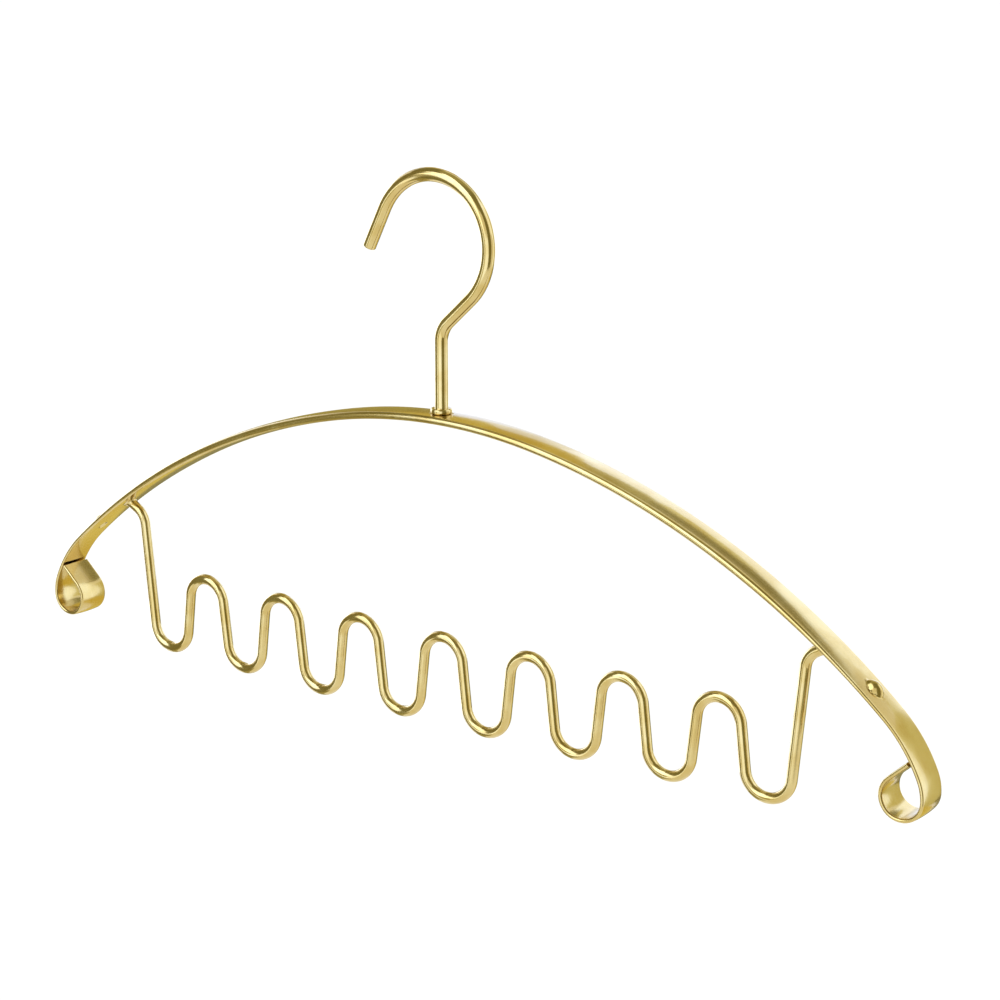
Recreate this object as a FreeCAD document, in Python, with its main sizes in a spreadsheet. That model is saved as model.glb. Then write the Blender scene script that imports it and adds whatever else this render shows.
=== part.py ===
"""Scarf hanger: a flat oval bar bent to a bow with curled ends, a wave wire welded under it, and a swivel hook."""
import FreeCAD, Part
import math
import os
import Sketcher

# Driving dimensions, in millimetres and degrees.
# Heights are measured from the bar's centre line at its middle; angles along the bar are its slope there.
SIZES = {
    # bar
    "bar_width": 13.2,
    "bar_thickness": 3.5,
    "bar_edge_radius": 1.4,
    "crown_radius": 227.4,
    "crown_end_slope": 11.5,
    "shoulder_radius": 299.1,
    "shoulder_end_slope": 41.3,
    # flattened ends
    "taper_start_slope": 26.0,
    "strip_thickness": 1.9,
    "strip_edge_radius": 0.7,
    "end_radius": 52.8,
    "end_slope": 66.0,
    "drop_radius": 18.0,
    "curl_radius": 7.5,
    "return_slope": 42.0,
    "curl_gap": 0.3,
    # strap stops
    "stop_slope": 39.5,
    "stop_length": 7.6,
    "stop_width": 5.0,
    "stop_height": 2.6,
    "stop_root_angle": 20.0,
    "dimple_length": 5.0,
    "dimple_width": 3.0,
    "dimple_depth": 0.8,
    # hook
    "hook_wire_diameter": 5.0,
    "ring_radius": 24.45,
    "ring_height": 62.05,
    "ring_offset": 3.44,
    "knee_height": 32.2,
    "knee_bend_radius": 9.7,
    "tip_lean": 27.0,
    "tip_length": 16.4,
    "tip_edge_radius": 0.5,
    # swivel joint
    "collar_diameter": 8.0,
    "collar_height": 2.0,
    "collar_rounding": 0.7,
    "seat_depth": 0.15,
    "seat_margin": 0.4,
    "shank_diameter": 4.0,
    "rivet_head_diameter": 6.0,
    "rivet_head_height": 1.2,
    "swivel_clearance": 0.05,
    # wave wire
    "wave_wire_diameter": 4.0,
    "wave_end_reach": 20.8,
    "trough_depth": 114.5,
    "wave_height": 32.6,
    "trough_bend_radius": 9.1,
    "peak_bend_radius": 8.8,
    "trough_rise": 2.3,
    "peak_rise": 1.7,
    "end_leg_lean": 5.4,
    "end_bend_radius": 7.8,
    "end_run_slope": 28.0,
    # welds
    "weld_slope": 35.55,
    "weld_root_gap": 0.1,
    "weld_bead_radius": 3.4,
    "weld_bead_height": 1.5,
}
TROUGHS_PER_SIDE = 4
TAPER_SECTIONS = 6

# Sizes that follow from the others: the wave fills the width between its welds under the bar,
# and the saddle, which is the part's origin, is the inside of the hook over the stem.
DERIVED = {
    "weld_share": "=(weld_slope - taper_start_slope) / (shoulder_end_slope - taper_start_slope)",
    "weld_bar_thickness": "=bar_thickness"
    " + (strip_thickness - bar_thickness) * weld_share^2 * (3 - 2 * weld_share)",
    "weld_x": "=crown_radius * sin(crown_end_slope)"
    " + shoulder_radius * (sin(weld_slope) - sin(crown_end_slope))"
    " - weld_bar_thickness / 2 * sin(weld_slope)",
    "wave_pitch": "=(weld_x - wave_end_reach) / %.1f" % (TROUGHS_PER_SIDE - 0.5),
    "saddle_height": "=ring_height + sqrt((ring_radius - hook_wire_diameter / 2)^2 - ring_offset^2)",
}

doc = FreeCAD.newDocument("scarf_hanger")
sheet = doc.addObject("Spreadsheet::Sheet", "sizes")
for row, (alias, value) in enumerate({**SIZES, **DERIVED}.items(), start=1):
    sheet.set("A%d" % row, alias)
    sheet.set("B%d" % row, str(value))
    sheet.setAlias("B%d" % row, alias)
doc.recompute()


def size(alias):
    """A driving dimension, read back from the sheet."""
    return float(sheet.get(alias))


def radians(alias):
    return math.radians(size(alias))


# Drawing helpers

def new_body(label):
    """A body hung from the saddle, drawn with its own zero at the bar's middle."""
    body = doc.addObject("PartDesign::Body", label)
    body.Label = label
    body.setExpression("Placement.Base.z", "-sizes.saddle_height")
    return body


def origin_plane(body, role):
    return next(item for item in body.Origin.OriginFeatures if item.Role == role)


def new_sketch(body, name, role):
    sketch = body.newObject("Sketcher::SketchObject", name)
    sketch.AttachmentSupport = [(origin_plane(body, role), "")]
    sketch.MapMode = "FlatFace"
    return sketch


def bind(sketch, constraint, name, formula):
    """Add a dimension to a sketch and tie it to the sheet."""
    index = sketch.addConstraint(constraint)
    sketch.renameConstraint(index, name)
    sketch.setExpression("Constraints." + name, formula)


class Pen:
    """Draws straight runs and tangent arcs one after the other in the XZ plane."""

    def __init__(self, sketch, x, z, heading):
        self.sketch = sketch
        self.place = FreeCAD.Vector(x, z, 0)
        self.heading = heading
        self.last = None

    def direction(self):
        return FreeCAD.Vector(math.cos(self.heading), math.sin(self.heading), 0)

    def join(self, geometry, first, last):
        """Tie the new piece's first end to the piece before it."""
        if self.last:
            self.sketch.addConstraint(Sketcher.Constraint("Tangent", *self.last, geometry, first))
        self.last = (geometry, last)
        return geometry

    def run(self, length):
        end = self.place + self.direction() * length
        line = self.sketch.addGeometry(Part.LineSegment(self.place, end))
        self.place = end
        return self.join(line, 1, 2)

    def turn(self, radius, angle):
        """An arc through an angle: left where it is positive, right where it is negative."""
        side = 1 if angle > 0 else -1
        across = FreeCAD.Vector(-self.direction().y, self.direction().x, 0) * side
        centre = self.place + across * radius
        start = self.heading - side * math.pi / 2
        low, high = sorted((start, start + angle))
        circle = Part.Circle(centre, FreeCAD.Vector(0, 0, 1), radius)
        arc = self.sketch.addGeometry(Part.ArcOfCircle(circle, low, high))
        self.heading += angle
        self.place = centre - FreeCAD.Vector(-self.direction().y, self.direction().x, 0) * side * radius
        return self.join(arc, 1, 2) if side > 0 else self.join(arc, 2, 1)


def oval_section(sketch, width, thickness, rounding, formulas):
    """A flat oval about the sketch's own zero: two round sides joined by two shallow arcs."""
    reach = width / 2 - rounding
    half = thickness / 2
    crown = (reach**2 + half**2 - rounding**2) / (2 * (half - rounding))
    lean = math.atan2(reach, crown - half)
    quarter = math.pi / 2
    pieces = [
        (FreeCAD.Vector(0, half - crown, 0), crown, quarter - lean, quarter + lean),
        (FreeCAD.Vector(-reach, 0, 0), rounding, quarter + lean, 3 * quarter - lean),
        (FreeCAD.Vector(0, crown - half, 0), crown, 3 * quarter - lean, 3 * quarter + lean),
        (FreeCAD.Vector(reach, 0, 0), rounding, 3 * quarter + lean, 5 * quarter - lean),
    ]
    arcs = []
    for centre, radius, first, last in pieces:
        circle = Part.Circle(centre, FreeCAD.Vector(0, 0, 1), radius)
        arcs.append(sketch.addGeometry(Part.ArcOfCircle(circle, first, last)))
    for arc, following in zip(arcs, arcs[1:] + arcs[:1]):
        sketch.addConstraint(Sketcher.Constraint("Tangent", arc, 2, following, 1))
    top, left, bottom, right = arcs
    sketch.addConstraint(Sketcher.Constraint("Equal", top, bottom))
    sketch.addConstraint(Sketcher.Constraint("Equal", left, right))
    sketch.addConstraint(Sketcher.Constraint("Symmetric", left, 3, right, 3, -1, 1))
    sketch.addConstraint(Sketcher.Constraint("PointOnObject", right, 3, -1))
    width_formula, thickness_formula, rounding_formula = formulas
    reach_formula = "((%s) / 2 - (%s))" % (width_formula, rounding_formula)
    half_formula = "((%s) / 2)" % thickness_formula
    crown_formula = "(%s^2 + %s^2 - (%s)^2) / (2 * (%s - (%s)))" % (
        reach_formula,
        half_formula,
        rounding_formula,
        half_formula,
        rounding_formula,
    )
    bind(sketch, Sketcher.Constraint("Radius", right, rounding), "rounding", rounding_formula)
    bind(sketch, Sketcher.Constraint("DistanceX", -1, 1, right, 3, reach), "reach", reach_formula)
    bind(sketch, Sketcher.Constraint("Radius", top, crown), "crown", crown_formula)


def round_section(sketch, height, height_formula, diameter_alias):
    """The wire's round section, at a height on the sketch's vertical axis."""
    radius = size(diameter_alias) / 2
    circle = sketch.addGeometry(Part.Circle(FreeCAD.Vector(0, height, 0), FreeCAD.Vector(0, 0, 1), radius))
    bind(sketch, Sketcher.Constraint("Diameter", circle, 2 * radius), "wire", "sizes." + diameter_alias)
    if height_formula:
        sketch.addConstraint(Sketcher.Constraint("PointOnObject", circle, 3, -2))
        bind(sketch, Sketcher.Constraint("DistanceY", -1, 1, circle, 3, height), "height", height_formula)
    else:
        sketch.addConstraint(Sketcher.Constraint("Coincident", circle, 3, -1, 1))


def closed_outline(sketch, points):
    """A closed outline of straight sides; returns its sides."""
    corners = [FreeCAD.Vector(x, z, 0) for x, z in points]
    sides = []
    for start, end in zip(corners, corners[1:] + corners[:1]):
        sides.append(sketch.addGeometry(Part.LineSegment(start, end)))
    for number, side in enumerate(sides):
        following = sides[(number + 1) % len(sides)]
        sketch.addConstraint(Sketcher.Constraint("Coincident", side, 2, following, 1))
    return sides


def turned_outline(sketch, points):
    """A closed outline round the vertical axis, each corner placed by a pair of formulas."""
    sides = closed_outline(sketch, [(x, z) for (x, _), (z, _) in points])
    for number, (side, ((x, x_formula), (z, z_formula))) in enumerate(zip(sides, points)):
        if x_formula:
            distance = Sketcher.Constraint("DistanceX", -1, 1, side, 1, x)
            bind(sketch, distance, "radius_%d" % number, x_formula)
        else:
            sketch.addConstraint(Sketcher.Constraint("PointOnObject", side, 1, -2))
        bind(sketch, Sketcher.Constraint("DistanceY", -1, 1, side, 1, z), "height_%d" % number, z_formula)


def revolve(body, name, sketch, kind):
    feature = body.newObject(kind, name)
    feature.Profile = sketch
    feature.ReferenceAxis = (sketch, ["V_Axis"])
    feature.Angle = 360
    return feature


def sweep(body, name, profile, path):
    pipe = body.newObject("PartDesign::AdditivePipe", name)
    pipe.Profile = profile
    pipe.Spine = (path, ["Edge%d" % (number + 1) for number in range(path.GeometryCount)])
    return pipe


def mirror_across_middle(body):
    """Make the left half from the finished right half."""
    mirrored = body.newObject("PartDesign::Mirrored", "left_half")
    mirrored.TransformMode = "Whole shape"
    mirrored.MirrorPlane = (origin_plane(body, "YZ_Plane"), [""])
    body.Tip = mirrored


# The bar's centre line

BAR_ARCS = [
    ("crown_radius", "crown_end_slope"),
    ("shoulder_radius", "shoulder_end_slope"),
    ("end_radius", "end_slope"),
]


def bar_point(slope):
    """Centre line of the bar where it slopes down by an angle."""
    x = 0.0
    z = 0.0
    start = 0.0
    for radius_alias, end_alias in BAR_ARCS:
        radius = size(radius_alias)
        stop = min(slope, radians(end_alias))
        x += radius * (math.sin(stop) - math.sin(start))
        z -= radius * (math.cos(start) - math.cos(stop))
        start = stop
        if stop == slope:
            break
    return x, z


def taper_share(slope):
    """How far the bar has turned to strip: 0 at the taper's start, 1 at the shoulder's end, eased at both."""
    first = radians("taper_start_slope")
    last = radians("shoulder_end_slope")
    share = min(max((slope - first) / (last - first), 0.0), 1.0)
    return share * share * (3 - 2 * share)


def taper_size(bar_alias, strip_alias, slope):
    """A size of the section on the way from bar to strip, as a number and as a formula."""
    share = taper_share(slope)
    number = size(bar_alias) + (size(strip_alias) - size(bar_alias)) * share
    formula = "sizes.%s + (sizes.%s - sizes.%s) * %.9f" % (bar_alias, strip_alias, bar_alias, share)
    return number, formula


def bar_section(body, name, slope):
    """A sketch of the bar's section, square to its centre line at a slope."""
    sketch = new_sketch(body, name, "YZ_Plane")
    x, z = bar_point(slope)
    tilt = FreeCAD.Rotation(FreeCAD.Vector(1, 0, 0), math.degrees(slope))
    sketch.AttachmentOffset = FreeCAD.Placement(FreeCAD.Vector(0, z, x), tilt)
    thickness, thickness_formula = taper_size("bar_thickness", "strip_thickness", slope)
    rounding, rounding_formula = taper_size("bar_edge_radius", "strip_edge_radius", slope)
    formulas = ("sizes.bar_width", thickness_formula, rounding_formula)
    oval_section(sketch, size("bar_width"), thickness, rounding, formulas)
    return sketch


# Shoulder bar

def draw_bow(body):
    """Centre line of the bar from the middle to the start of the taper."""
    path = new_sketch(body, "bow_line", "XZ_Plane")
    pen = Pen(path, 0, 0, 0)
    crown_turn = radians("crown_end_slope")
    shoulder_turn = radians("taper_start_slope") - crown_turn
    crown = pen.turn(size("crown_radius"), -crown_turn)
    shoulder = pen.turn(size("shoulder_radius"), -shoulder_turn)
    path.addConstraint(Sketcher.Constraint("Coincident", crown, 2, -1, 1))
    path.addConstraint(Sketcher.Constraint("PointOnObject", crown, 3, -2))
    bind(path, Sketcher.Constraint("Radius", crown, size("crown_radius")), "crown", "sizes.crown_radius")
    bind(
        path,
        Sketcher.Constraint("Radius", shoulder, size("shoulder_radius")),
        "shoulder",
        "sizes.shoulder_radius",
    )
    bind(path, Sketcher.Constraint("Angle", crown, crown_turn), "crown_turn", "sizes.crown_end_slope * 1 deg")
    bind(
        path,
        Sketcher.Constraint("Angle", shoulder, shoulder_turn),
        "shoulder_turn",
        "(sizes.taper_start_slope - sizes.crown_end_slope) * 1 deg",
    )
    return path


def return_length():
    """Length of the straight run from the curl back to the strip, ending just short of the strip."""
    probe = doc.addObject("Sketcher::SketchObject", "return_probe")
    pen = pen_along_strip(probe)
    doc.removeObject(probe.Name)
    heading = radians("return_slope")
    ahead = FreeCAD.Vector(math.cos(heading), math.sin(heading), 0)
    end_slope = radians("end_slope")
    x, z = bar_point(end_slope)
    radius = size("end_radius")
    centre = FreeCAD.Vector(x - radius * math.sin(end_slope), z - radius * math.cos(end_slope), 0)
    reach = radius - size("strip_thickness") / 2 - size("curl_gap")
    back = pen.place - centre
    along = back.dot(ahead)
    to_axis = -along + math.sqrt(along**2 - back.dot(back) + reach**2)
    landing = back + ahead * to_axis
    crossing = abs(landing.normalize().dot(ahead))
    square_end = size("strip_thickness") / 2 * math.sqrt(1 - crossing**2) / crossing
    return to_axis - square_end


def pen_along_strip(sketch):
    """Draw the strip's end arc, its drop and its curl; the pen stops where the straight return begins."""
    start_slope = radians("shoulder_end_slope")
    x, z = bar_point(start_slope)
    pen = Pen(sketch, x, z, -start_slope)
    pen.turn(size("end_radius"), start_slope - radians("end_slope"))
    pen.turn(size("drop_radius"), radians("end_slope") - math.pi / 2)
    pen.turn(size("curl_radius"), -(1.5 * math.pi - radians("return_slope")))
    return pen


def draw_strip(body):
    """Centre line of the flattened end: down, round the curl and back to the strip."""
    path = new_sketch(body, "strip_line", "XZ_Plane")
    length = return_length()
    pen = pen_along_strip(path)
    back = pen.run(length)
    end, drop, curl = 0, 1, 2
    start_slope = radians("shoulder_end_slope")
    x, z = bar_point(start_slope)
    path.addConstraint(Sketcher.Constraint("DistanceX", -1, 1, end, 2, x))
    path.addConstraint(Sketcher.Constraint("DistanceY", -1, 1, end, 2, z))
    rise = size("end_radius") * math.cos(start_slope)
    path.addConstraint(Sketcher.Constraint("DistanceY", end, 3, end, 2, rise))
    bind(path, Sketcher.Constraint("Radius", end, size("end_radius")), "end", "sizes.end_radius")
    bind(path, Sketcher.Constraint("Radius", drop, size("drop_radius")), "drop", "sizes.drop_radius")
    bind(path, Sketcher.Constraint("Radius", curl, size("curl_radius")), "curl", "sizes.curl_radius")
    bind(
        path,
        Sketcher.Constraint("Angle", end, radians("end_slope") - start_slope),
        "end_turn",
        "(sizes.end_slope - sizes.shoulder_end_slope) * 1 deg",
    )
    bind(
        path,
        Sketcher.Constraint("Angle", drop, math.pi / 2 - radians("end_slope")),
        "drop_turn",
        "(90 - sizes.end_slope) * 1 deg",
    )
    bind(
        path,
        Sketcher.Constraint("Angle", curl, 1.5 * math.pi - radians("return_slope")),
        "curl_turn",
        "(270 - sizes.return_slope) * 1 deg",
    )
    path.addConstraint(Sketcher.Constraint("Distance", back, length))
    return path


def add_stop(body):
    """The embossed strap stop: a dome rooted in the bar's top and the punch's dimple under it."""
    slope = radians("stop_slope")
    x, z = bar_point(slope)
    half = taper_size("bar_thickness", "strip_thickness", slope)[0] / 2
    up = FreeCAD.Vector(math.sin(slope), 0, math.cos(slope))
    tilt = FreeCAD.Rotation(FreeCAD.Vector(0, 1, 0), math.degrees(slope))
    middle = FreeCAD.Vector(x, 0, z)
    bump = body.newObject("PartDesign::AdditiveEllipsoid", "stop_bump")
    bump.setExpression("Radius1", "sizes.stop_height")
    bump.setExpression("Radius2", "sizes.stop_length / 2")
    bump.setExpression("Radius3", "sizes.stop_width / 2")
    bump.setExpression("Angle1", "-sizes.stop_root_angle")
    bump.Placement = FreeCAD.Placement(middle + up * half, tilt)
    doc.recompute()
    dimple = body.newObject("PartDesign::SubtractiveEllipsoid", "stop_dimple")
    dimple.setExpression("Radius1", "sizes.dimple_depth")
    dimple.setExpression("Radius2", "sizes.dimple_length / 2")
    dimple.setExpression("Radius3", "sizes.dimple_width / 2")
    dimple.Angle1 = -90
    dimple.Placement = FreeCAD.Placement(middle - up * half, tilt)


def add_swivel_bore(body):
    """The seat under the collar, the bore for the shank and the countersink for its peened head."""
    clearance = size("swivel_clearance")
    top = size("bar_thickness")
    seat = size("bar_thickness") / 2 - size("seat_depth")
    bottom = -size("bar_thickness") / 2
    seat_radius = size("collar_diameter") / 2 + size("seat_margin")
    bore_radius = size("shank_diameter") / 2 + clearance
    mouth_radius = size("rivet_head_diameter") / 2 + clearance
    sink = bottom + size("rivet_head_height")
    bore_formula = "sizes.shank_diameter / 2 + sizes.swivel_clearance"
    mouth_formula = "sizes.rivet_head_diameter / 2 + sizes.swivel_clearance"
    seat_formula = "sizes.bar_thickness / 2 - sizes.seat_depth"
    rim_formula = "sizes.collar_diameter / 2 + sizes.seat_margin"
    sketch = new_sketch(body, "swivel_bore_outline", "XZ_Plane")
    turned_outline(
        sketch,
        [
            ((0, ""), (top, "sizes.bar_thickness")),
            ((0, ""), (-top, "-sizes.bar_thickness")),
            ((mouth_radius, mouth_formula), (-top, "-sizes.bar_thickness")),
            ((mouth_radius, mouth_formula), (bottom, "-sizes.bar_thickness / 2")),
            ((bore_radius, bore_formula), (sink, "-sizes.bar_thickness / 2 + sizes.rivet_head_height")),
            ((bore_radius, bore_formula), (seat, seat_formula)),
            ((seat_radius, rim_formula), (seat, seat_formula)),
            ((seat_radius, rim_formula), (top, "sizes.bar_thickness")),
        ],
    )
    doc.recompute()
    before = body.Shape.Volume
    revolve(body, "swivel_bore", sketch, "PartDesign::Groove")
    doc.recompute()
    assert body.Shape.Volume < before, "the swivel bore cuts nothing"


def make_shoulder_bar():
    body = new_body("shoulder_bar")
    section = bar_section(body, "bar_section", 0.0)
    sweep(body, "bow", section, draw_bow(body))
    first = radians("taper_start_slope")
    last = radians("shoulder_end_slope")
    step = (last - first) / (TAPER_SECTIONS - 1)
    slopes = [first + step * number for number in range(TAPER_SECTIONS)]
    sections = [bar_section(body, "taper_section_%d" % n, slope) for n, slope in enumerate(slopes)]
    taper = body.newObject("PartDesign::AdditiveLoft", "taper")
    taper.Profile = sections[0]
    taper.Sections = [(section, [""]) for section in sections[1:]]
    strip_section = bar_section(body, "strip_section", last)
    sweep(body, "strip", strip_section, draw_strip(body))
    doc.recompute()
    add_stop(body)
    mirror_across_middle(body)
    doc.recompute()
    add_swivel_bore(body)
    return body


# Wave wire

def wave_bends():
    """Bends of the right half from the middle peak outward: x, height of the centre, radius alias, side."""
    pitch = size("wave_pitch")
    last_trough = (TROUGHS_PER_SIDE - 0.5) * pitch
    bends = []
    for number in range(TROUGHS_PER_SIDE):
        peak_x = number * pitch
        peak_top = -size("trough_depth") + size("wave_height") + size("peak_rise") * (peak_x / last_trough) ** 2
        bends.append((peak_x, peak_top - size("peak_bend_radius"), "peak_bend_radius", -1))
        trough_x = (number + 0.5) * pitch
        trough_bottom = -size("trough_depth") + size("trough_rise") * (trough_x / last_trough) ** 2
        bends.append((trough_x, trough_bottom + size("trough_bend_radius"), "trough_bend_radius", 1))
    return bends


def leg_heading(bend, following):
    """Direction of the straight leg that touches two bends of opposite turn."""
    x0, z0, radius0, side = bend
    x1, z1, radius1, _ = following
    distance = math.hypot(x1 - x0, z1 - z0)
    crossing = math.asin((size(radius0) + size(radius1)) / distance)
    return math.atan2(z1 - z0, x1 - x0) + side * crossing


def weld_point():
    """Where the wave wire's axis meets the bar's underside, and the bar's upward normal there."""
    slope = radians("weld_slope")
    x, z = bar_point(slope)
    up = FreeCAD.Vector(math.sin(slope), math.cos(slope), 0)
    return FreeCAD.Vector(x, z, 0) - up * (size("weld_bar_thickness") / 2), up


def wave_end():
    """Where the wire is cut off, just short of the bar so that only the weld fills the wedge."""
    meeting, up = weld_point()
    heading = radians("end_run_slope")
    ahead = FreeCAD.Vector(math.cos(heading), math.sin(heading), 0)
    crossing = up.dot(ahead)
    low_edge = size("wave_wire_diameter") / 2 * math.sqrt(1 - crossing**2)
    return meeting - ahead * ((low_edge + size("weld_root_gap")) / crossing), heading


def draw_wave(body):
    """Centre line of the wire's right half, from the middle peak to the bar."""
    path = new_sketch(body, "wave_line", "XZ_Plane")
    bends = wave_bends()
    headings = [0.0]
    headings += [leg_heading(bend, following) for bend, following in zip(bends, bends[1:])]
    headings.append(math.pi / 2 - radians("end_leg_lean"))
    first_x, first_z, first_radius, _ = bends[0]
    pen = Pen(path, first_x, first_z + size(first_radius), 0)
    arcs = []
    for number, (_, _, radius_alias, _) in enumerate(bends):
        arcs.append(pen.turn(size(radius_alias), headings[number + 1] - headings[number]))
        if number + 1 < len(bends):
            next_x, next_z, next_radius, next_side = bends[number + 1]
            arrive = headings[number + 1]
            land_x = next_x + next_side * size(next_radius) * math.sin(arrive)
            land_z = next_z - next_side * size(next_radius) * math.cos(arrive)
            pen.run(math.hypot(land_x - pen.place.x, land_z - pen.place.y))
    end, end_heading = wave_end()
    leg = pen.direction()
    last = FreeCAD.Vector(math.cos(end_heading), math.sin(end_heading), 0)
    gap = end - pen.place
    spread = leg.x * last.y - leg.y * last.x
    to_corner = (gap.x * last.y - gap.y * last.x) / spread
    corner_to_end = (leg.x * gap.y - leg.y * gap.x) / spread
    bend_turn = end_heading - pen.heading
    tangent = size("end_bend_radius") * math.tan(abs(bend_turn) / 2)
    end_leg = pen.run(to_corner - tangent)
    end_bend = pen.turn(size("end_bend_radius"), bend_turn)
    end_run = pen.run(corner_to_end - tangent)

    path.addConstraint(Sketcher.Constraint("PointOnObject", arcs[0], 2, -2))
    for number, (arc, (x, z, radius_alias, side)) in enumerate(zip(arcs, bends)):
        radius_formula = "sizes." + radius_alias
        if number == 0:
            path.addConstraint(Sketcher.Constraint("PointOnObject", arc, 3, -2))
        else:
            across = Sketcher.Constraint("DistanceX", -1, 1, arc, 3, x)
            bind(path, across, "bend_%d_x" % number, "sizes.wave_pitch * %.1f" % (number / 2))
        share = (number / (2 * TROUGHS_PER_SIDE - 1)) ** 2
        if side < 0:
            height = "-sizes.trough_depth + sizes.wave_height + sizes.peak_rise * %.9f - %s"
        else:
            height = "-sizes.trough_depth + sizes.trough_rise * %.9f + %s"
        down = Sketcher.Constraint("DistanceY", -1, 1, arc, 3, z)
        bind(path, down, "bend_%d_z" % number, height % (share, radius_formula))
        radius = Sketcher.Constraint("Radius", arc, size(radius_alias))
        bind(path, radius, "bend_%d_radius" % number, radius_formula)
    lean = Sketcher.Constraint("Angle", -1, 1, end_leg, 1, math.pi / 2 - radians("end_leg_lean"))
    bind(path, lean, "end_leg_slope", "(90 - sizes.end_leg_lean) * 1 deg")
    slant = Sketcher.Constraint("Angle", -1, 1, end_run, 1, radians("end_run_slope"))
    bind(path, slant, "end_run_slope", "sizes.end_run_slope * 1 deg")
    radius = Sketcher.Constraint("Radius", end_bend, size("end_bend_radius"))
    bind(path, radius, "end_bend", "sizes.end_bend_radius")
    path.addConstraint(Sketcher.Constraint("DistanceX", -1, 1, end_run, 2, end.x))
    path.addConstraint(Sketcher.Constraint("DistanceY", -1, 1, end_run, 2, end.y))
    return path


def make_wave_wire():
    body = new_body("wave_wire")
    section = new_sketch(body, "wave_section", "YZ_Plane")
    middle = -size("trough_depth") + size("wave_height")
    round_section(section, middle, "-sizes.trough_depth + sizes.wave_height", "wave_wire_diameter")
    sweep(body, "wave", section, draw_wave(body))
    mirror_across_middle(body)
    return body


# Hook

def draw_hook(body, foot, foot_formula):
    """Centre line of the hook: stem, knee, slanting run, round crown and straight tip."""
    path = new_sketch(body, "hook_line", "XZ_Plane")
    radius = size("ring_radius")
    to_centre = FreeCAD.Vector(-size("ring_offset"), size("ring_height") - size("knee_height"), 0)
    distance = to_centre.Length
    heading = math.atan2(to_centre.y, to_centre.x) - math.asin(radius / distance)
    knee_turn = heading - math.pi / 2
    knee_tangent = size("knee_bend_radius") * math.tan(abs(knee_turn) / 2)
    tip_heading = 1.5 * math.pi - radians("tip_lean")
    pen = Pen(path, 0, foot, math.pi / 2)
    stem = pen.run(size("knee_height") - foot - knee_tangent)
    knee = pen.turn(size("knee_bend_radius"), knee_turn)
    pen.run(math.sqrt(distance**2 - radius**2) - knee_tangent)
    crown = pen.turn(radius, tip_heading - heading)
    tip = pen.run(size("tip_length"))
    path.addConstraint(Sketcher.Constraint("PointOnObject", stem, 1, -2))
    bind(path, Sketcher.Constraint("DistanceY", -1, 1, stem, 1, foot), "foot", foot_formula)
    path.addConstraint(Sketcher.Constraint("Vertical", stem))
    bend = Sketcher.Constraint("Radius", knee, size("knee_bend_radius"))
    bind(path, bend, "knee", "sizes.knee_bend_radius")
    bind(path, Sketcher.Constraint("Radius", crown, radius), "crown", "sizes.ring_radius")
    across = Sketcher.Constraint("DistanceX", crown, 3, -1, 1, size("ring_offset"))
    bind(path, across, "ring_offset", "sizes.ring_offset")
    up = Sketcher.Constraint("DistanceY", -1, 1, crown, 3, size("ring_height"))
    bind(path, up, "ring_height", "sizes.ring_height")
    path.addConstraint(Sketcher.Constraint("Distance", stem, size("knee_height") - foot - knee_tangent))
    lean = Sketcher.Constraint("Angle", -1, 1, tip, 1, tip_heading)
    bind(path, lean, "tip_heading", "(270 - sizes.tip_lean) * 1 deg")
    bind(path, Sketcher.Constraint("Distance", tip, size("tip_length")), "tip_length", "sizes.tip_length")
    return path, FreeCAD.Vector(pen.place.x, 0, pen.place.y)


def make_hook():
    """The bent wire with its shank turned down and peened over in the bar's countersink."""
    body = new_body("hook")
    foot = size("bar_thickness") / 2 - size("seat_depth") + size("swivel_clearance")
    foot_formula = "sizes.bar_thickness / 2 - sizes.seat_depth + sizes.swivel_clearance"
    section = new_sketch(body, "hook_section", "XY_Plane")
    section.setExpression("AttachmentOffset.Base.z", foot_formula)
    round_section(section, 0, "", "hook_wire_diameter")
    path, tip_end = draw_hook(body, foot, foot_formula)
    wire = sweep(body, "wire", section, path)
    doc.recompute()
    tip_edges = []
    for number, edge in enumerate(wire.Shape.Edges, start=1):
        if edge.BoundBox.Center.distanceToPoint(tip_end) < size("tip_edge_radius"):
            tip_edges.append("Edge%d" % number)
    rounding = body.newObject("PartDesign::Fillet", "rounded_tip")
    rounding.Base = (wire, tip_edges)
    rounding.setExpression("Radius", "sizes.tip_edge_radius")

    shank_radius = size("shank_diameter") / 2
    head_radius = size("rivet_head_diameter") / 2
    bottom = -size("bar_thickness") / 2
    head_top = bottom + size("rivet_head_height") - size("swivel_clearance")
    head_top_formula = "-sizes.bar_thickness / 2 + sizes.rivet_head_height - sizes.swivel_clearance"
    shank = new_sketch(body, "shank_outline", "XZ_Plane")
    turned_outline(
        shank,
        [
            ((0, ""), (bottom, "-sizes.bar_thickness / 2")),
            ((head_radius, "sizes.rivet_head_diameter / 2"), (bottom, "-sizes.bar_thickness / 2")),
            ((shank_radius, "sizes.shank_diameter / 2"), (head_top, head_top_formula)),
            ((shank_radius, "sizes.shank_diameter / 2"), (foot, foot_formula)),
            ((0, ""), (foot, foot_formula)),
        ],
    )
    revolve(body, "shank", shank, "PartDesign::Revolution")
    doc.recompute()
    return body


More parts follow.
